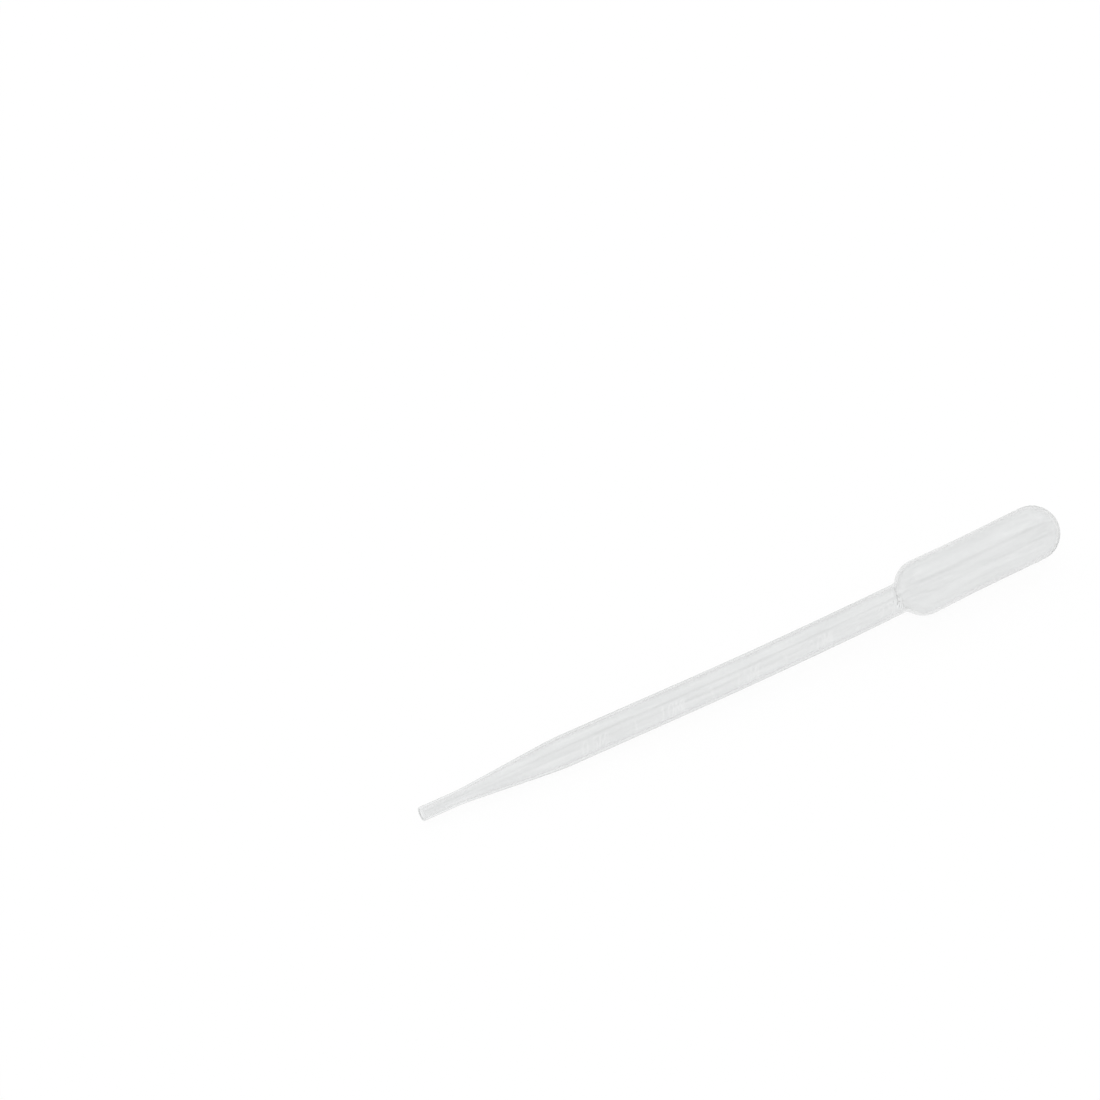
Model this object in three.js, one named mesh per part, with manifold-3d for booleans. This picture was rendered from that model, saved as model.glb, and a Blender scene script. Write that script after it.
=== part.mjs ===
// A graduated plastic dropper pipette, blow-moulded as one hollow piece: an open drawn-out tip, a stem and
// a squeeze bulb. It lies on its side, as it comes to rest: on the stem's knee and on the bulb's shoulder.
// Millimetres, +Z up. The tip is towards -X and the bulb towards +X, and the stem bends a little to +Y.
// The origin is on the surface that the pipette lies on, under the middle of its box.
import * as THREE from "three";
import { mergeVertices } from "three/addons/utils/BufferGeometryUtils.js";
import Module from "manifold-3d";

// Stations along the pipette, from the open tip to the end of the dome.
const TIP_END = 9; // the tip's straight tube ends and the taper begins
const KNEE = 31.3; // the taper meets the stem
const SHOULDER = 117.8; // the stem meets the bulb
const WAIST = 136; // the bulb is slimmest here
const LENGTH = 160;

// Outside radii.
const TIP_RADIUS = 1.5;
const STEM_RADIUS = 3.37;
const SHOULDER_RADIUS = 6.3;
const WAIST_RADIUS = 6.15;
const DOME_RADIUS = 6.27;

// The shoulder flares from the stem as a cone, and a rounding turns the cone into the bulb's side.
const FLARE_ANGLE = THREE.MathUtils.degToRad(43);
const SHOULDER_ROUNDING = 5.8;

// Blowing leaves the wall thinner where the parison swells, and thicker where it is pinched off at the dome.
const TIP_WALL = 0.38;
const STEM_WALL = 0.46;
const BULB_WALL = 0.42;
const DOME_END_WALL = 0.5;

// The stem took a slight, even bend as it cooled.
const BEND_START = 62;
const BEND_END = 114;
const BEND_ANGLE = THREE.MathUtils.degToRad(2.4);

// Graduations: a raised bar at each quarter of a millilitre, halfway between the places of the numbers.
const FIRST_NUMBER = 39.2;
const NUMBER_SPACING = 18.4;
const NUMBERS = 5;
const BAR_WIDTH = 0.45; // along the stem
const BAR_HEIGHT = 0.14; // how far it stands proud of the stem
const BAR_SPAN = THREE.MathUtils.degToRad(42); // around the stem
const BAR_FACING = THREE.MathUtils.degToRad(30); // above the horizontal, on the -Y side
const BAR_STEPS = 4;

// A flat side faces down, and each side turns through more than 10 degrees, so that the faceted body rests.
const SIDES = 24;
const ROUNDING_STEPS = 5;
const DOME_STEPS = 7;
const SIDE_STEPS = 6; // along the bulb's waisted side

const wasm = await Module();
wasm.setup();

// An arc of the outline about a centre (radius, station), as points from one angle to another. Angle 0 points
// away from the axis, and a right angle points along it towards the dome.
function arc(centre, radius, startAngle, endAngle, steps) {
  return Array.from({ length: steps + 1 }, (_, i) => {
    const angle = THREE.MathUtils.lerp(startAngle, endAngle, i / steps);
    return new THREE.Vector2(centre.x + radius * Math.cos(angle), centre.y + radius * Math.sin(angle));
  });
}

// The shoulder: the rounding's start on the flare and its end on the bulb's side.
function shoulderOutline() {
  const flareTop = SHOULDER_RADIUS - SHOULDER_ROUNDING * (1 - Math.cos(FLARE_ANGLE));
  const flareEnd = SHOULDER + (flareTop - STEM_RADIUS) / Math.tan(FLARE_ANGLE);
  const centre = new THREE.Vector2(
    SHOULDER_RADIUS - SHOULDER_ROUNDING,
    flareEnd + SHOULDER_ROUNDING * Math.sin(FLARE_ANGLE),
  );
  return arc(centre, SHOULDER_ROUNDING, -FLARE_ANGLE, 0, ROUNDING_STEPS);
}

// The bulb's side eases from the shoulder to the waist and from there to the dome.
function sideOutline(start, end) {
  return Array.from({ length: SIDE_STEPS - 1 }, (_, i) => {
    const station = THREE.MathUtils.lerp(start, end, (i + 1) / SIDE_STEPS);
    const radius =
      station < WAIST
        ? THREE.MathUtils.lerp(SHOULDER_RADIUS, WAIST_RADIUS, THREE.MathUtils.smoothstep(station, start, WAIST))
        : THREE.MathUtils.lerp(WAIST_RADIUS, DOME_RADIUS, THREE.MathUtils.smoothstep(station, WAIST, end));
    return new THREE.Vector2(radius, station);
  });
}

// The outside of the pipette from the rim of the tip to the end of the dome, as (radius, station) points.
function outsideOutline() {
  const shoulder = shoulderOutline();
  const domeStart = LENGTH - DOME_RADIUS;
  return [
    new THREE.Vector2(TIP_RADIUS, 0),
    new THREE.Vector2(TIP_RADIUS, TIP_END),
    new THREE.Vector2(STEM_RADIUS, KNEE),
    new THREE.Vector2(STEM_RADIUS, BEND_START),
    ...stemStations().map((station) => new THREE.Vector2(STEM_RADIUS, station)),
    new THREE.Vector2(STEM_RADIUS, SHOULDER),
    ...shoulder,
    ...sideOutline(shoulder.at(-1).y, domeStart),
    ...arc(new THREE.Vector2(0, domeStart), DOME_RADIUS, 0, Math.PI / 2, DOME_STEPS),
  ];
}

// Stations that let the stem follow its bend.
function stemStations() {
  const steps = 6;
  return Array.from({ length: steps }, (_, i) => THREE.MathUtils.lerp(BEND_START, BEND_END, (i + 1) / steps));
}

// The wall's thickness at a station.
function wallAt(station) {
  const { lerp, smoothstep } = THREE.MathUtils;
  if (station <= SHOULDER) return lerp(TIP_WALL, STEM_WALL, smoothstep(station, TIP_END, KNEE));
  const bulbWall = lerp(STEM_WALL, BULB_WALL, smoothstep(station, SHOULDER, WAIST));
  return lerp(bulbWall, DOME_END_WALL, smoothstep(station, LENGTH - DOME_RADIUS, LENGTH));
}

// The inside of the wall: each point of the outside moved in by the wall's thickness, square to the outline
// on both sides of the point. The rim and the end of the dome move along the end face and the axis.
function insideOutline(outside) {
  return outside.map((point, i) => {
    const wall = wallAt(point.y);
    if (i === 0) return new THREE.Vector2(point.x - wall, point.y);
    if (i === outside.length - 1) return new THREE.Vector2(0, point.y - wall);
    const before = point.clone().sub(outside[i - 1]).normalize();
    const after = outside[i + 1].clone().sub(point).normalize();
    const inwardBefore = new THREE.Vector2(-before.y, before.x);
    const inwardAfter = new THREE.Vector2(-after.y, after.x);
    const inward = inwardBefore.clone().add(inwardAfter).normalize();
    return point.clone().addScaledVector(inward, wall / inward.dot(inwardAfter));
  });
}

// The whole wall turned about the axis. The lathe turns about Y, and the turn afterwards lays Y along +X.
function wallGeometry() {
  const outside = outsideOutline();
  const inside = insideOutline(outside);
  const profile = [...inside.reverse(), ...outside];
  profile.forEach((point) => {
    if (point.x < 1e-6) point.x = 0;
  });
  return new THREE.LatheGeometry(profile, SIDES, Math.PI / SIDES).rotateZ(-Math.PI / 2);
}

// One raised graduation bar: a slice of a ring that hugs the stem and sinks into its wall.
function barGeometry(station) {
  const inner = STEM_RADIUS - STEM_WALL / 2;
  const outer = STEM_RADIUS + BAR_HEIGHT;
  const start = Math.PI - BAR_FACING - BAR_SPAN / 2;
  const end = start + BAR_SPAN;
  const ring = new THREE.Shape()
    .absarc(0, 0, outer, start, end, false)
    .absarc(0, 0, inner, end, start, true);
  // The extrusion runs along +Z, and the turn takes +Z to +X, +X to +Y and +Y to +Z.
  return new THREE.ExtrudeGeometry(ring, { depth: BAR_WIDTH, bevelEnabled: false, curveSegments: BAR_STEPS })
    .rotateZ(Math.PI / 2)
    .rotateY(Math.PI / 2)
    .translate(station - BAR_WIDTH / 2, 0, 0);
}

// A closed three.js geometry as a manifold-3d solid, and back.
function toSolid(geometry) {
  const bare = geometry.clone();
  bare.deleteAttribute("normal");
  bare.deleteAttribute("uv");
  const merged = mergeVertices(bare, 1e-4);
  return new wasm.Manifold(
    new wasm.Mesh({
      numProp: 3,
      vertProperties: new Float32Array(merged.attributes.position.array),
      triVerts: new Uint32Array(merged.index.array),
    }),
  );
}

function toGeometry(solid) {
  const mesh = solid.getMesh();
  const geometry = new THREE.BufferGeometry();
  geometry.setAttribute("position", new THREE.BufferAttribute(mesh.vertProperties, 3));
  geometry.setIndex(new THREE.BufferAttribute(mesh.triVerts, 1));
  return geometry;
}

// The bend: the axis stays straight up to BEND_START, runs along a circle to BEND_END and is straight again.
function bend(geometry) {
  const circleRadius = (BEND_END - BEND_START) / BEND_ANGLE;
  const position = geometry.attributes.position;
  for (let i = 0; i < position.count; i += 1) {
    const station = position.getX(i);
    const aside = position.getY(i);
    const heading = BEND_ANGLE * THREE.MathUtils.clamp((station - BEND_START) / (BEND_END - BEND_START), 0, 1);
    const straightBefore = Math.min(station, BEND_START);
    const straightAfter = Math.max(station - BEND_END, 0);
    const alongAxis = straightBefore + circleRadius * Math.sin(heading) + straightAfter * Math.cos(heading);
    const acrossAxis = circleRadius * (1 - Math.cos(heading)) + straightAfter * Math.sin(heading);
    position.setXY(i, alongAxis - aside * Math.sin(heading), acrossAxis + aside * Math.cos(heading));
  }
  return geometry;
}

// Lays the pipette down: the knee and the fullest ring of the bulb's shoulder touch the surface together.
function layDown(geometry) {
  const fullest = shoulderOutline().at(-1).y;
  const flatToFlat = Math.cos(Math.PI / SIDES);
  const rise = Math.atan(((SHOULDER_RADIUS - STEM_RADIUS) * flatToFlat) / (fullest - KNEE));
  geometry.rotateY(-rise);
  geometry.computeBoundingBox();
  const { min, max } = geometry.boundingBox;
  return geometry.translate(-(min.x + max.x) / 2, -(min.y + max.y) / 2, -min.z);
}

function pipetteMesh() {
  let solid = toSolid(wallGeometry());
  for (let i = 0; i < NUMBERS - 1; i += 1) {
    solid = solid.add(toSolid(barGeometry(FIRST_NUMBER + (i + 0.5) * NUMBER_SPACING)));
  }
  const geometry = layDown(bend(toGeometry(solid)));
  const material = new THREE.MeshStandardMaterial({ color: 0xe3e4e4, roughness: 0.35, metalness: 0 });
  const mesh = new THREE.Mesh(geometry, material);
  mesh.name = "pipette";
  return mesh;
}

const part = new THREE.Group();
part.add(pipetteMesh());

export default part;
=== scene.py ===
"""The looks of a graduated plastic dropper pipette that lies on a white table.

The pipette is one blown shell of milky polyethylene, so it is one piece here too: a smooth, fine mesh with
its outside, its inside, its cut rim and its raised graduations, which stands for the faceted CAD solid.
Metres, +Z up, tip towards -X.
"""

import math

import bpy
import numpy as np
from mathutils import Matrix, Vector


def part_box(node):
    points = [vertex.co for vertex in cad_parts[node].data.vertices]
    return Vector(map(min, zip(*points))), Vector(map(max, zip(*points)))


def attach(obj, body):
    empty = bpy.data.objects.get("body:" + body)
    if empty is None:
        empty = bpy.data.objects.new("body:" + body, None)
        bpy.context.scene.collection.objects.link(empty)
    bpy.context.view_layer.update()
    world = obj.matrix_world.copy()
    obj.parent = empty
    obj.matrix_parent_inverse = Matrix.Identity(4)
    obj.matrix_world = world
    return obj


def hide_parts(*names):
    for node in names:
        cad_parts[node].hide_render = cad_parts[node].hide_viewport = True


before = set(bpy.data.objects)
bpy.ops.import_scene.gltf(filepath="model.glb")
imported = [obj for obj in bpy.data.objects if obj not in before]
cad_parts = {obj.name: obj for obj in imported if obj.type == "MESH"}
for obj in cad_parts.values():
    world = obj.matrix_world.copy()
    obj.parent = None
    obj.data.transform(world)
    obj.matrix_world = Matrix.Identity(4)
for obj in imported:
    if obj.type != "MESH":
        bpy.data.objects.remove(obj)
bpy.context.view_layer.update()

MM = 0.001

# Stations along the pipette, from the open tip to the end of the dome.
TIP_END = 9 * MM
KNEE = 31.3 * MM
SHOULDER = 117.8 * MM
WAIST = 136 * MM
LENGTH = 160 * MM

# Outside radii.
TIP_RADIUS = 1.5 * MM
STEM_RADIUS = 3.37 * MM
SHOULDER_RADIUS = 6.3 * MM
WAIST_RADIUS = 6.15 * MM
DOME_RADIUS = 6.27 * MM

# The taper's two ends blend over these lengths, and the shoulder flares as a cone that rounds into the bulb.
TIP_BLEND = 2 * MM
KNEE_BLEND = 3 * MM
FLARE_ANGLE = math.radians(43)
FLARE_FILLET = 2 * MM
SHOULDER_ROUNDING = 5.8 * MM

# The wall is thinner where it was drawn out to the tip or blown out to the bulb, and thickest where it was
# pinched off at the dome. The unevenness is a share of its thickness.
TIP_WALL = 0.38 * MM
STEM_WALL = 0.46 * MM
BULB_WALL = 0.42 * MM
DOME_END_WALL = 0.5 * MM
WALL_UNEVENNESS = 0.14
RIM_ROUNDING = 0.16 * MM
CUT_SKIN = 0.3 * MM  # how far along the outside and the bore the blade whitened the plastic

# The stem took a slight, even bend as it cooled.
BEND_START = 62 * MM
BEND_END = 114 * MM
BEND_ANGLE = math.radians(2.4)

# Graduations: a number at every half millilitre and a bar halfway between two numbers, on the -Y side.
FIRST_NUMBER = 39.2 * MM
NUMBER_SPACING = 18.4 * MM
NUMBER_TEXTS = ("0.5ML", "1.0ML", "1.5ML", "2.0ML", "2.5ML")
TEXT_HEIGHT = 2.7 * MM
TEXT_NARROWING = 0.76
TEXT_SLANT = 0.3
TEXT_GAP = 0.22  # between two letters, in letter heights
ARC_POINTS = 14
RELIEF_FACING = math.radians(30)  # above the horizontal
RELIEF_HEIGHT = 0.05 * MM
STROKE_RADIUS = 0.24 * MM
BAR_LENGTH = 2.5 * MM
RAISED = "raised"  # the mesh attribute that marks the relief
BLOWN = "blown"  # the mesh attribute that marks the inside, which no mould touched

# How the wall's thickness wanders: waves along the pipette, one for each number of lobes around it.
WANDER_SEED = 7
MOST_LOBES = 4
WAVELENGTHS = (30, 70)  # the shortest and the longest, in millimetres
SWELL_TWIST = 0.6  # how far a swell turns the lobes, in radians
SWELL_SHARE = 0.4  # how much of a lobe's depth comes and goes with the swell

# Mesh density. A span is what is finely meshed on each side of a number or a bar, and the last number's span
# has to end before FILLET_START.
NUMBER_SPAN = 0.225 * NUMBER_SPACING
BAR_SPAN = 2 * STROKE_RADIUS
RELIEF_MARGIN = 1.5 * STROKE_RADIUS  # what the fine columns take in beyond the letters
STEP_SLACK = 1e-6  # the share of a step that rounding may add
FINE_STEP = 0.1 * MM
STEM_STEP = 1.0 * MM
BULB_STEP = 0.7 * MM
FLARE_STEP = BULB_STEP / 2
FILLET_STEP = BULB_STEP / 4
COARSE_COLUMNS = 72
DOME_ROWS = 26
RIM_ROWS = 4
RISE_HALVINGS = 40


def smoothstep(value, start, end):
    t = np.clip((value - start) / (end - start), 0, 1)
    return t * t * (3 - 2 * t)


def soft_ramp(value, start, blend):
    """Zero before start and value - start after it, with a parabola across the corner."""
    t = np.clip(value - start + blend, 0, 2 * blend)
    return t * t / (4 * blend) + np.maximum(value - start - blend, 0)


def shoulder_stations():
    """Where the fillet across the corner at SHOULDER starts, and where it, the cone and the rounding end."""
    turn = math.sin(FLARE_ANGLE)
    rise = 1 - math.cos(FLARE_ANGLE)
    fillet_start = SHOULDER - FLARE_FILLET * math.tan(FLARE_ANGLE / 2)
    fillet_end = fillet_start + FLARE_FILLET * turn
    cone_low = STEM_RADIUS + FLARE_FILLET * rise
    cone_high = SHOULDER_RADIUS - SHOULDER_ROUNDING * rise
    cone_end = fillet_end + (cone_high - cone_low) / math.tan(FLARE_ANGLE)
    return fillet_start, fillet_end, cone_end, cone_end + SHOULDER_ROUNDING * turn


FILLET_START, FILLET_END, CONE_END, FULLEST = shoulder_stations()
DOME_START = LENGTH - DOME_RADIUS


def outside_radius(station):
    """The outside radius at stations before the dome."""
    slope = (STEM_RADIUS - TIP_RADIUS) / (KNEE - TIP_END)
    widening = soft_ramp(station, TIP_END, TIP_BLEND) - soft_ramp(station, KNEE, KNEE_BLEND)
    taper = TIP_RADIUS + slope * widening
    into_fillet = np.clip(station - FILLET_START, 0, FLARE_FILLET)
    fillet = STEM_RADIUS + FLARE_FILLET - np.sqrt(FLARE_FILLET**2 - into_fillet**2)
    before_full = np.clip(FULLEST - station, 0, SHOULDER_ROUNDING)
    rounding = SHOULDER_RADIUS - SHOULDER_ROUNDING + np.sqrt(SHOULDER_ROUNDING**2 - before_full**2)
    cone_low = STEM_RADIUS + FLARE_FILLET * (1 - math.cos(FLARE_ANGLE))
    cone = cone_low + (station - FILLET_END) * math.tan(FLARE_ANGLE)
    to_waist = smoothstep(station, FULLEST, WAIST)
    to_dome = smoothstep(station, WAIST, DOME_START)
    waisted = SHOULDER_RADIUS + (WAIST_RADIUS - SHOULDER_RADIUS) * to_waist
    side = waisted + (DOME_RADIUS - WAIST_RADIUS) * to_dome
    return np.select(
        [station < FILLET_START, station < FILLET_END, station < CONE_END, station < FULLEST],
        [taper, fillet, cone, rounding],
        side,
    )


def wall_at(station):
    stem = TIP_WALL + (STEM_WALL - TIP_WALL) * smoothstep(station, TIP_END, KNEE)
    bulb = stem + (BULB_WALL - STEM_WALL) * smoothstep(station, SHOULDER, WAIST)
    return bulb + (DOME_END_WALL - BULB_WALL) * smoothstep(station, DOME_START, LENGTH)


# Raised lettering: each letter is a few strokes in a box one unit high, as points from the lower left corner.
def arc(centre, radii, start, end, points=ARC_POINTS):
    angles = np.radians(np.linspace(start, end, points))
    return [(centre[0] + radii[0] * math.cos(a), centre[1] + radii[1] * math.sin(a)) for a in angles]


LETTERS = {
    "0": (0.60, [arc((0.3, 0.5), (0.3, 0.5), 0, 360, 2 * ARC_POINTS)]),
    "1": (0.34, [[(0.02, 0.76), (0.26, 1), (0.26, 0)]]),
    "2": (0.58, [arc((0.29, 0.72), (0.27, 0.28), 170, -35) + [(0.02, 0), (0.58, 0)]]),
    "5": (0.58, [[(0.54, 1), (0.12, 1), (0.07, 0.56)] + arc((0.27, 0.32), (0.3, 0.32), 122, -145)]),
    ".": (0.10, [[(0.05, 0.02), (0.05, 0.04)]]),
    "M": (0.76, [[(0, 0), (0.06, 1), (0.38, 0.3), (0.7, 1), (0.76, 0)]]),
    "L": (0.46, [[(0, 1), (0, 0), (0.46, 0)]]),
}


def text_strokes(text):
    """The strokes of a text centred on the origin, in metres: x along the stem and y up the letters."""
    width = sum(LETTERS[letter][0] for letter in text) + TEXT_GAP * (len(text) - 1)
    pen = -width / 2
    strokes = []
    for letter in text:
        advance, parts = LETTERS[letter]
        for part in parts:
            centred = [(pen + x, y - 0.5) for x, y in part]
            slanted = [(x * TEXT_NARROWING + y * TEXT_SLANT, y) for x, y in centred]
            strokes.append([(x * TEXT_HEIGHT, y * TEXT_HEIGHT) for x, y in slanted])
        pen += advance + TEXT_GAP
    return strokes


def distance_to_stroke(x, y, stroke):
    """How far each point of a grid is from a stroke."""
    nearest = np.full(x.shape, np.inf)
    for (x0, y0), (x1, y1) in zip(stroke, stroke[1:]):
        run, rise = x1 - x0, y1 - y0
        along = np.clip(((x - x0) * run + (y - y0) * rise) / (run * run + rise * rise), 0, 1)
        nearest = np.minimum(nearest, np.hypot(x - x0 - along * run, y - y0 - along * rise))
    return nearest


def number_stations():
    return [FIRST_NUMBER + i * NUMBER_SPACING for i in range(len(NUMBER_TEXTS))]


def bar_stations():
    return [station + NUMBER_SPACING / 2 for station in number_stations()[:-1]]


def relief(station, up_the_side):
    """The height of the raised numbers and bars, at stations and arc lengths around the stem."""
    distance = np.full(station.shape, np.inf)
    for place, text in zip(number_stations(), NUMBER_TEXTS):
        near = np.abs(station - place) < NUMBER_SPACING / 4
        for stroke in text_strokes(text):
            distance[near] = np.minimum(
                distance[near], distance_to_stroke(station[near] - place, up_the_side[near], stroke)
            )
    bar = [(0, -BAR_LENGTH / 2), (0, BAR_LENGTH / 2)]
    for place in bar_stations():
        distance = np.minimum(distance, distance_to_stroke(station - place, up_the_side, bar))
    return RELIEF_HEIGHT * smoothstep(STROKE_RADIUS - distance, 0, STROKE_RADIUS)


# The grid: rows at stations along the pipette and columns around it, both finer at the graduations.
def fine_spans():
    spans = [(place - NUMBER_SPAN, place + NUMBER_SPAN) for place in number_stations()]
    spans += [(place - BAR_SPAN, place + BAR_SPAN) for place in bar_stations()]
    return sorted(spans)


def spread(start, end, step):
    """Even stations from start up to, but not at, end."""
    count = max(1, math.ceil((end - start) / step - STEP_SLACK))
    return list(np.linspace(start, end, count, endpoint=False))


def outside_stations():
    stations = []
    here = 0
    for start, end in fine_spans():
        stations += spread(here, start, STEM_STEP)
        stations += spread(start, end, FINE_STEP)
        here = end
    stations += spread(here, FILLET_START, STEM_STEP)
    stations += spread(FILLET_START, FILLET_END, FILLET_STEP)
    stations += spread(FILLET_END, FULLEST, FLARE_STEP)
    stations += spread(FULLEST, DOME_START, BULB_STEP)
    return np.array(stations)


def inside_stations():
    stem = spread(0, FILLET_START, STEM_STEP)
    fillet = spread(FILLET_START, FILLET_END, FILLET_STEP)
    flare = spread(FILLET_END, FULLEST, FLARE_STEP)
    return np.array(stem + fillet + flare + spread(FULLEST, DOME_START, BULB_STEP))


def column_angles():
    """Angles around the axis from straight up, towards the -Y side, closely spaced across the graduations."""
    half_relief = (TEXT_HEIGHT / 2 + RELIEF_MARGIN) / STEM_RADIUS
    centre = math.pi / 2 - RELIEF_FACING
    fine = spread(centre - half_relief, centre + half_relief, FINE_STEP / STEM_RADIUS)
    rest_end = centre - half_relief + 2 * math.pi
    rest = np.linspace(centre + half_relief, rest_end, COARSE_COLUMNS, endpoint=False)
    return np.array(fine + list(rest))


def dome_outline():
    """The dome as (station, radius) from its start to just before its end."""
    angles = np.linspace(0, math.pi / 2, DOME_ROWS, endpoint=False)
    return DOME_START + DOME_RADIUS * np.sin(angles), DOME_RADIUS * np.cos(angles)


def full_outline(stations):
    """Stations and radii of the outside from the rim to just before the end of the dome."""
    dome_stations, dome_radii = dome_outline()
    return np.concatenate([stations, dome_stations]), np.concatenate([outside_radius(stations), dome_radii])


def inward_offset(stations, radii, distance):
    """An outline moved square to itself, towards the axis."""
    along = np.gradient(stations)
    outwards = np.gradient(radii)
    length = np.hypot(along, outwards)
    return stations + distance * outwards / length, radii - distance * along / length


def unevenness(station, angle):
    """How the wall's thickness wanders, between about -1 and 1."""
    rng = np.random.default_rng(WANDER_SEED)
    wander = np.zeros(station.shape)
    for lobes in range(1, MOST_LOBES + 1):
        wavelength = rng.uniform(*WAVELENGTHS) * MM
        phase = rng.uniform(0, 2 * math.pi)
        twist = rng.uniform(0, 2 * math.pi)
        swell = np.cos(2 * math.pi * station / wavelength + twist)
        depth = (1 - SWELL_SHARE + SWELL_SHARE * swell) / lobes
        wander += np.cos(lobes * angle + phase + SWELL_TWIST * swell) * depth
    return wander / 2


def ring_points(station, radius, angles):
    """Rings about the axis: one row for each station."""
    return np.stack([station, -radius * np.sin(angles), radius * np.cos(angles)], axis=-1)


def shell_rows(angles):
    """Every ring of the shell, from the inside of the dome along the bore to the tip and back outside.

    With the points comes how far each is raised, from 0 to 1 on top of a raised stroke, and which rows are
    the inside and which the cut end of the tip.
    """
    stations, radii = full_outline(inside_stations())
    bore_stations, bore_radii = inward_offset(stations, radii, wall_at(stations))
    grid_station = np.broadcast_to(bore_stations[:, None], (len(stations), len(angles)))
    uneven = WALL_UNEVENNESS * wall_at(stations)[:, None] * unevenness(grid_station, angles)
    uneven = uneven * smoothstep(grid_station, 0, TIP_END)
    bore = ring_points(grid_station, bore_radii[:, None] - uneven, angles)
    lip = rim_rows(angles)
    stations, radii = full_outline(outside_stations())
    grid_station = np.broadcast_to(stations[:, None], (len(stations), len(angles)))
    centre = math.pi / 2 - RELIEF_FACING
    turned = (angles - centre + math.pi) % (2 * math.pi) - math.pi
    up_the_side = np.broadcast_to(-turned * STEM_RADIUS, grid_station.shape)
    height = relief(grid_station, up_the_side)
    outside = ring_points(grid_station, radii[:, None] + height, angles)
    rows = np.concatenate([bore[:0:-1], lip, outside[1:]])
    raised = np.zeros(rows.shape[:2])
    raised[1 - len(outside):] = height[1:] / RELIEF_HEIGHT
    row = np.arange(len(rows))
    inside = row < len(bore) - 1
    cut = ~inside & (row < len(bore) - 1 + len(lip))
    return rows, raised, inside, cut


def rim_rows(angles):
    """The cut end of the tip: the whitened bore, the flat face between two rounded edges and the skin."""
    turn = np.linspace(0, math.pi / 2, RIM_ROWS)
    inner = TIP_RADIUS - TIP_WALL
    stations = RIM_ROUNDING * (1 - np.sin(turn))
    bore_edge = inner + RIM_ROUNDING * (1 - np.cos(turn))
    outer_edge = TIP_RADIUS - RIM_ROUNDING * (1 - np.cos(turn))
    rim_stations = np.concatenate([[CUT_SKIN], stations, stations[::-1], [CUT_SKIN]])
    rim_radii = np.concatenate([[inner], bore_edge, outer_edge[::-1], [TIP_RADIUS]])
    grid_station = np.broadcast_to(rim_stations[:, None], (len(rim_stations), len(angles)))
    return ring_points(grid_station, rim_radii[:, None], angles)


def bent(points):
    """The axis stays straight up to BEND_START, runs along a circle to BEND_END and is straight again."""
    circle = (BEND_END - BEND_START) / BEND_ANGLE
    station, aside = points[..., 0], points[..., 1]
    heading = BEND_ANGLE * np.clip((station - BEND_START) / (BEND_END - BEND_START), 0, 1)
    before = np.minimum(station, BEND_START)
    after = np.maximum(station - BEND_END, 0)
    along = before + circle * np.sin(heading) + after * np.cos(heading)
    across = circle * (1 - np.cos(heading)) + after * np.sin(heading)
    x = along - aside * np.sin(heading)
    y = across + aside * np.cos(heading)
    return np.stack([x, y, points[..., 2]], axis=-1)


def resting_rise():
    """The angle at which the knee and the bulb touch the table together."""
    stations, radii = full_outline(inside_stations())
    middle = (KNEE + SHOULDER) / 2
    low, high = 0.0, FLARE_ANGLE
    for _ in range(RISE_HALVINGS):
        rise = (low + high) / 2
        height = stations * math.sin(rise) - radii * math.cos(rise)
        if height[stations > middle].min() > height[stations < middle].min():
            high = rise
        else:
            low = rise
    return rise


def laid_down(points):
    """The pipette turned up to its resting rise, on the table, in the middle of the CAD node's box."""
    rise = resting_rise()
    x = points[..., 0] * math.cos(rise) - points[..., 2] * math.sin(rise)
    z = points[..., 0] * math.sin(rise) + points[..., 2] * math.cos(rise)
    laid = np.stack([x, points[..., 1], z], axis=-1)
    low, high = laid.min(axis=(0, 1)), laid.max(axis=(0, 1))
    cad_low, cad_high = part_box("pipette")
    laid[..., 0] += (cad_low[0] + cad_high[0]) / 2 - (low[0] + high[0]) / 2
    laid[..., 1] += (cad_low[1] + cad_high[1]) / 2 - (low[1] + high[1]) / 2
    laid[..., 2] += cad_low[2] - low[2]
    return laid


def grid_faces(rows, columns):
    """Quads between neighbouring rows, closed around the axis, with their outside facing out."""
    row, column = np.meshgrid(np.arange(rows - 1), np.arange(columns), indexing="ij")
    after = (column + 1) % columns
    here, beyond = row * columns, (row + 1) * columns
    corners = [here + column, here + after, beyond + after, beyond + column]
    return np.stack(corners, axis=-1).reshape(-1, 4).tolist()


def shell_faces(rows, columns):
    """The grid's quads, and at its two ends the fans about the pole of the inside and of the outside."""
    faces = grid_faces(rows, columns)
    inside_end, outside_end = rows * columns, rows * columns + 1
    last_row = (rows - 1) * columns
    for column in range(columns):
        after = (column + 1) % columns
        faces.append([inside_end, after, column])
        faces.append([outside_end, last_row + column, last_row + after])
    return faces


def mark_points(mesh, name, shares):
    marks = mesh.attributes.new(name, "FLOAT", "POINT")
    marks.data.foreach_set("value", shares)


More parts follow.
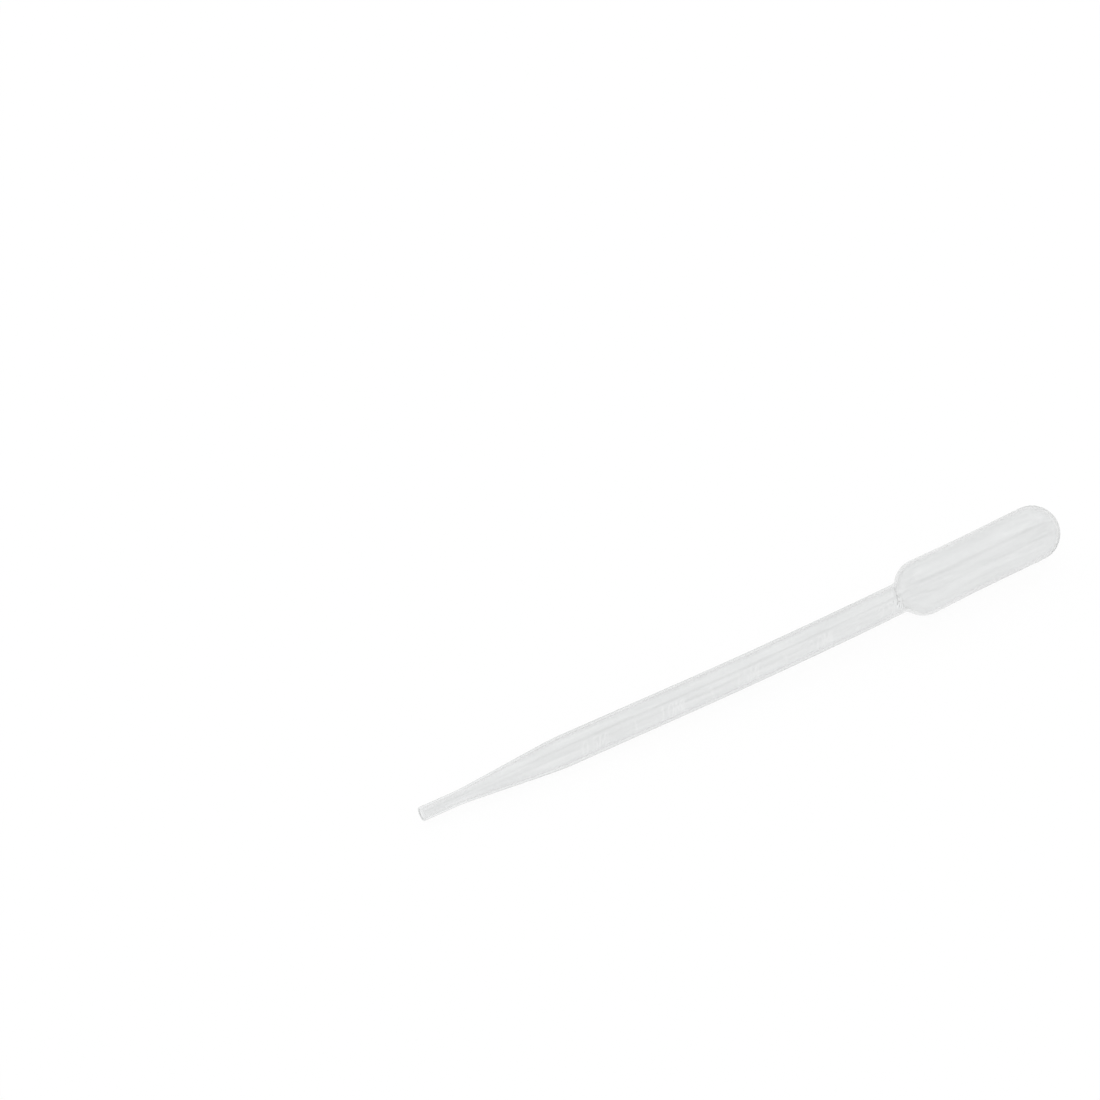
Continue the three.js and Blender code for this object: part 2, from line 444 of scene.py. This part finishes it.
def make_pipette():
    angles = column_angles()
    rows, raised, inside, cut = shell_rows(angles)
    inside_pole = np.array([LENGTH - DOME_END_WALL, 0, 0])
    outside_pole = np.array([LENGTH, 0, 0])
    count, columns = rows.shape[:2]
    poles = np.broadcast_to(np.stack([inside_pole, outside_pole])[:, None], (2, columns, 3))
    laid = laid_down(bent(np.concatenate([rows, poles])))
    points = laid[:count].reshape(-1, 3)
    vertices = np.concatenate([points, laid[count:, 0]]).tolist()
    mesh = bpy.data.meshes.new("pipette_shell")
    mesh.from_pydata(vertices, [], shell_faces(count, columns))
    cut_faces = np.repeat(cut[:-1] & cut[1:], columns)
    material_places = np.append(cut_faces, np.zeros(2 * columns, dtype=bool)).astype(int)
    mesh.polygons.foreach_set("material_index", material_places)
    mesh.validate()
    mesh.shade_smooth()
    mark_points(mesh, RAISED, np.append(raised, [0, 0]))
    mark_points(mesh, BLOWN, np.append(np.repeat(inside, columns), [1, 0]).astype(float))
    pipette = bpy.data.objects.new("pipette_shell", mesh)
    bpy.context.scene.collection.objects.link(pipette)
    return pipette


# Materials. The tint of the milky plastic counts each time that light passes a surface of the wall.
STREAK_SCALE = (90, 900, 900)  # per metre, so the flow streaks are ten times as long as wide
STREAK_DETAIL = 4
STREAK_TINTS = ((0.86, 0.865, 0.865, 1), (0.915, 0.92, 0.92, 1))
TINT_STOPS = (0.3, 0.7)  # the noise at the darker and at the lighter tint
STREAK_BUMP_STRENGTH = 0.05
STREAK_BUMP_HEIGHT = 0.05 * MM
# Painted highlight: the raised marks are tinted white, so they show lighter than the rest of the wall.
PAINTED_STROKE_HIGHLIGHT = (1, 1, 1, 1)
MOULDED_ROUGHNESS = (0.1, 0.16)
BLOWN_ROUGHNESS = 0.05
REFRACTIVE_INDEX = 1.51
HAZE_COLOUR = (0.8, 0.81, 0.81, 1)
HAZE_DENSITY = 60  # per metre

# Painted shade at the outline: the base colour is darkened where the surface is seen at a skim angle. The
# bulb, blown out further, is given the lighter painted shade. The start and the end are in the Layer Weight
# node's facing, which is 0 face on and 1 at the outline.
EDGE_SHADE_START = 0.5
EDGE_SHADE_END = 0.85
STEM_EDGE_SHADE = (0.54, 0.55, 0.55, 1)
BULB_EDGE_SHADE = (0.79, 0.795, 0.795, 1)
EDGE_SHADE_CHANGE = 7 * MM  # how far before the bulb the stem's painted edge shade begins to turn into the bulb's

CUT_GRAIN_SCALE = 4000  # per metre
CUT_TINTS = ((0.74, 0.75, 0.75, 1), (0.86, 0.87, 0.87, 1))
CUT_ROUGHNESS = 0.6
PAPER_COLOUR = (0.98, 0.98, 0.98, 1)
WHITE_TO_CAMERA = 0.96  # how much of the table the camera sees as its own even white


def new_material(name):
    material = bpy.data.materials.new(name)
    material.use_nodes = True
    material.node_tree.nodes.clear()
    return material, material.node_tree.nodes, material.node_tree.links


def two_tone(nodes, links, noise, tints):
    """A noise as a blend of a darker and a lighter tint."""
    ramp = nodes.new("ShaderNodeValToRGB")
    for element, stop, tint in zip(ramp.color_ramp.elements, TINT_STOPS, tints):
        element.position = stop
        element.color = tint
    links.new(noise.outputs["Fac"], ramp.inputs["Fac"])
    return ramp.outputs["Color"]


def rising(nodes, links, value, start, end):
    """A share that is 0 up to the start, 1 from the end and rises evenly between them."""
    rise = nodes.new("ShaderNodeMapRange")
    rise.inputs["From Min"].default_value = start
    rise.inputs["From Max"].default_value = end
    links.new(value, rise.inputs["Value"])
    return rise.outputs["Result"]


def colour_mix(nodes, links, share):
    mix = nodes.new("ShaderNodeMix")
    mix.data_type = "RGBA"
    links.new(share, mix.inputs["Factor"])
    return mix


def mesh_mark(nodes, name):
    mark = nodes.new("ShaderNodeAttribute")
    mark.attribute_name = name
    return mark.outputs["Fac"]


def flow_streaks(nodes, links, place):
    stretch = nodes.new("ShaderNodeMapping")
    stretch.inputs["Scale"].default_value = STREAK_SCALE
    links.new(place.outputs["Object"], stretch.inputs["Vector"])
    streaks = nodes.new("ShaderNodeTexNoise")
    streaks.inputs["Scale"].default_value = 1.0
    streaks.inputs["Detail"].default_value = STREAK_DETAIL
    links.new(stretch.outputs["Vector"], streaks.inputs["Vector"])
    return streaks


def painted_edge_shade(nodes, links, place):
    """The painted shade at the outline: the stem's as far as the neck and the bulb's after it."""
    along = nodes.new("ShaderNodeSeparateXYZ")
    links.new(place.outputs["Object"], along.inputs["Vector"])
    bulb_start = FILLET_START - LENGTH / 2
    bulb_share = rising(nodes, links, along.outputs["X"], bulb_start - EDGE_SHADE_CHANGE, bulb_start)
    tone = colour_mix(nodes, links, bulb_share)
    tone.inputs["A"].default_value = STEM_EDGE_SHADE
    tone.inputs["B"].default_value = BULB_EDGE_SHADE
    return tone.outputs["Result"]


def milky_colour(nodes, links, place, streaks):
    """Streaked, with painted shade at a skim angle, and a painted highlight of white on the raised marks."""
    # Painted shade: the Layer Weight's facing darkens the base colour towards the outline.
    view = nodes.new("ShaderNodeLayerWeight")
    edge_shade_share = rising(nodes, links, view.outputs["Facing"], EDGE_SHADE_START, EDGE_SHADE_END)
    edge_shaded = colour_mix(nodes, links, edge_shade_share)
    links.new(two_tone(nodes, links, streaks, STREAK_TINTS), edge_shaded.inputs["A"])
    links.new(painted_edge_shade(nodes, links, place), edge_shaded.inputs["B"])
    # Painted highlight: a white base colour on the raised marks.
    stroke_highlight = colour_mix(nodes, links, mesh_mark(nodes, RAISED))
    stroke_highlight.inputs["B"].default_value = PAINTED_STROKE_HIGHLIGHT
    links.new(edge_shaded.outputs["Result"], stroke_highlight.inputs["A"])
    return stroke_highlight.outputs["Result"]


def milky_roughness(nodes, links, streaks):
    """Slightly matt outside, where it touched the mould, and smoother inside, where only air touched it."""
    least, most = MOULDED_ROUGHNESS
    moulded = nodes.new("ShaderNodeMapRange")
    moulded.inputs["To Min"].default_value = least
    moulded.inputs["To Max"].default_value = most
    links.new(streaks.outputs["Fac"], moulded.inputs["Value"])
    roughness = nodes.new("ShaderNodeMix")
    roughness.inputs["B"].default_value = BLOWN_ROUGHNESS
    links.new(mesh_mark(nodes, BLOWN), roughness.inputs["Factor"])
    links.new(moulded.outputs["Result"], roughness.inputs["A"])
    return roughness.outputs["Result"]


def streak_bump(nodes, links, streaks):
    bump = nodes.new("ShaderNodeBump")
    bump.inputs["Strength"].default_value = STREAK_BUMP_STRENGTH
    bump.inputs["Distance"].default_value = STREAK_BUMP_HEIGHT
    links.new(streaks.outputs["Fac"], bump.inputs["Height"])
    return bump.outputs["Normal"]


def milky_plastic():
    """Natural low-density polyethylene: hazy and faintly grey, with drawn-out flow streaks."""
    material, nodes, links = new_material("milky_plastic")
    place = nodes.new("ShaderNodeTexCoord")
    streaks = flow_streaks(nodes, links, place)
    plastic = nodes.new("ShaderNodeBsdfPrincipled")
    plastic.inputs["IOR"].default_value = REFRACTIVE_INDEX
    plastic.inputs["Transmission Weight"].default_value = 1
    links.new(milky_colour(nodes, links, place, streaks), plastic.inputs["Base Color"])
    links.new(milky_roughness(nodes, links, streaks), plastic.inputs["Roughness"])
    links.new(streak_bump(nodes, links, streaks), plastic.inputs["Normal"])
    haze = nodes.new("ShaderNodeVolumeAbsorption")
    haze.inputs["Color"].default_value = HAZE_COLOUR
    haze.inputs["Density"].default_value = HAZE_DENSITY
    output = nodes.new("ShaderNodeOutputMaterial")
    links.new(plastic.outputs["BSDF"], output.inputs["Surface"])
    links.new(haze.outputs["Volume"], output.inputs["Volume"])
    return material


def cut_plastic():
    """The cut end of the tip, left rough by the blade, so that it scatters light instead of letting it in."""
    material, nodes, links = new_material("cut_plastic")
    place = nodes.new("ShaderNodeTexCoord")
    grain = nodes.new("ShaderNodeTexNoise")
    grain.inputs["Scale"].default_value = CUT_GRAIN_SCALE
    links.new(place.outputs["Object"], grain.inputs["Vector"])
    plastic = nodes.new("ShaderNodeBsdfPrincipled")
    plastic.inputs["Roughness"].default_value = CUT_ROUGHNESS
    links.new(two_tone(nodes, links, grain, CUT_TINTS), plastic.inputs["Base Color"])
    output = nodes.new("ShaderNodeOutputMaterial")
    links.new(plastic.outputs["BSDF"], output.inputs["Surface"])
    return material


def own_white_share(nodes, links):
    """The table's own even white: most of it to the camera, and all of it in gloss and through plastic."""
    path = nodes.new("ShaderNodeLightPath")
    to_camera = nodes.new("ShaderNodeMath")
    to_camera.operation = "MULTIPLY"
    to_camera.inputs[1].default_value = WHITE_TO_CAMERA
    links.new(path.outputs["Is Camera Ray"], to_camera.inputs[0])
    in_plastic = nodes.new("ShaderNodeMath")
    in_plastic.operation = "MAXIMUM"
    links.new(path.outputs["Is Glossy Ray"], in_plastic.inputs[0])
    links.new(path.outputs["Is Transmission Ray"], in_plastic.inputs[1])
    either = nodes.new("ShaderNodeMath")
    either.operation = "MAXIMUM"
    links.new(to_camera.outputs["Value"], either.inputs[0])
    links.new(in_plastic.outputs["Value"], either.inputs[1])
    return either.outputs["Value"]


def white_table():
    """White paper: seen directly it is mostly its own even white, and the rest takes the soft shadow."""
    material, nodes, links = new_material("white_table")
    paper = nodes.new("ShaderNodeBsdfDiffuse")
    paper.inputs["Color"].default_value = PAPER_COLOUR
    white = nodes.new("ShaderNodeEmission")
    white.inputs["Strength"].default_value = 1.0
    mix = nodes.new("ShaderNodeMixShader")
    links.new(own_white_share(nodes, links), mix.inputs["Fac"])
    links.new(paper.outputs["BSDF"], mix.inputs[1])
    links.new(white.outputs["Emission"], mix.inputs[2])
    output = nodes.new("ShaderNodeOutputMaterial")
    links.new(mix.outputs["Shader"], output.inputs["Surface"])
    return material


# The studio. Grey flags stand round the pipette and edge its gloss.
TABLE_SIZE = 6.0
FLAG_LENGTH = 2.4
TIP_FLAG_FOOT = (-1.2, 0.1)  # x and z of its lower edge
TIP_FLAG_HEAD = (-0.9, 1.3)  # x and z of its upper edge
TIP_FLAG_REACH = 0.9  # on each side of the axis
TIP_FLAG_SHADE = 0.75
SOFTBOX_PLACE = (0.3, 0.45, 1.1)
SOFTBOX_SIZE = (1.6, 0.8)
SOFTBOX_POWER = 1.2
CAMERA_PLACE = (-0.21666, -0.29871, 0.3782)
CAMERA_TARGET = (-0.01821, 0.05508, 0)
CAMERA_LENS = 80.86  # millimetres
SENSOR_WIDTH = 36  # millimetres
NEAREST_SEEN = 0.01  # metres
MOST_BOUNCES = 24


def make_table():
    half = TABLE_SIZE / 2
    corners = [(-half, -half, 0), (half, -half, 0), (half, half, 0), (-half, half, 0)]
    mesh = bpy.data.meshes.new("table")
    mesh.from_pydata(corners, [], [(0, 1, 2, 3)])
    table = bpy.data.objects.new("table", mesh)
    bpy.context.scene.collection.objects.link(table)
    table.data.materials.append(white_table())
    return table


def aim(thing, target):
    thing.rotation_mode = "QUATERNION"
    thing.rotation_quaternion = (Vector(target) - thing.location).to_track_quat("-Z", "Y")


def make_softbox():
    lamp = bpy.data.lights.new("overhead_softbox", "AREA")
    lamp.shape = "RECTANGLE"
    lamp.size, lamp.size_y = SOFTBOX_SIZE
    lamp.energy = SOFTBOX_POWER
    box = bpy.data.objects.new("overhead_softbox", lamp)
    bpy.context.scene.collection.objects.link(box)
    box.location = SOFTBOX_PLACE
    aim(box, (0, 0, 0))


def cloth(name, shade):
    material, nodes, links = new_material(name)
    weave = nodes.new("ShaderNodeBsdfDiffuse")
    weave.inputs["Color"].default_value = (shade, shade, shade, 1)
    output = nodes.new("ShaderNodeOutputMaterial")
    links.new(weave.outputs["BSDF"], output.inputs["Surface"])
    return material


def cloth_panel(name, corners, shade):
    """A flat four-cornered panel that only gloss and light through plastic see: it takes no light away."""
    mesh = bpy.data.meshes.new(name)
    mesh.from_pydata([tuple(corner) for corner in corners], [], [(0, 1, 2, 3)])
    mesh.materials.append(cloth(name, shade))
    panel = bpy.data.objects.new(name, mesh)
    bpy.context.scene.collection.objects.link(panel)
    panel.visible_camera = False
    panel.visible_diffuse = False
    panel.visible_shadow = False


def long_flag(name, degrees, distance, width, middle, shade):
    """A flag that runs along X, its middle's x given, at an angle above the horizon on the -Y side."""
    angle = math.radians(degrees)
    out = np.array([0, -math.cos(angle), math.sin(angle)])
    across = np.array([0, math.sin(angle), math.cos(angle)])
    along = np.array([1, 0, 0])
    centre = out * distance + along * middle
    corners = [
        centre + along * x * FLAG_LENGTH / 2 + across * y * width / 2
        for x, y in ((-1, -1), (1, -1), (1, 1), (-1, 1))
    ]
    cloth_panel(name, corners, shade)


def tip_end_flag():
    """A flag across the tip's end of the table, leaning over it."""
    foot, low = TIP_FLAG_FOOT
    head, high = TIP_FLAG_HEAD
    reach = TIP_FLAG_REACH
    corners = [(foot, -reach, low), (foot, reach, low), (head, reach, high), (head, -reach, high)]
    cloth_panel("tip_end_flag", corners, TIP_FLAG_SHADE)


def make_flags():
    long_flag("overhead_flag", degrees=74, distance=0.8, width=0.15, middle=0.4, shade=0.5)
    long_flag("near_flag", degrees=24, distance=0.9, width=0.15, middle=0.4, shade=0.5)
    tip_end_flag()


def make_lights():
    make_softbox()
    world = bpy.data.worlds.new("studio")
    bpy.context.scene.world = world
    world.use_nodes = True
    sky = world.node_tree.nodes["Background"]
    sky.inputs["Color"].default_value = (1, 1, 1, 1)
    sky.inputs["Strength"].default_value = 1


def make_camera():
    data = bpy.data.cameras.new("camera")
    data.lens = CAMERA_LENS
    data.sensor_width = SENSOR_WIDTH
    data.clip_start = NEAREST_SEEN
    camera = bpy.data.objects.new("camera", data)
    bpy.context.scene.collection.objects.link(camera)
    camera.location = CAMERA_PLACE
    aim(camera, CAMERA_TARGET)
    bpy.context.scene.camera = camera


pipette = make_pipette()
pipette.data.materials.append(milky_plastic())
pipette.data.materials.append(cut_plastic())
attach(pipette, "root")
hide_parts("pipette")
make_table()
make_flags()
make_lights()
make_camera()
bpy.context.scene.view_settings.view_transform = "Standard"
# Light that enters the wall at the dome or near the tip turns many times inside it before it leaves.
for limit in ("max_bounces", "glossy_bounces", "transmission_bounces"):
    setattr(bpy.context.scene.cycles, limit, MOST_BOUNCES)
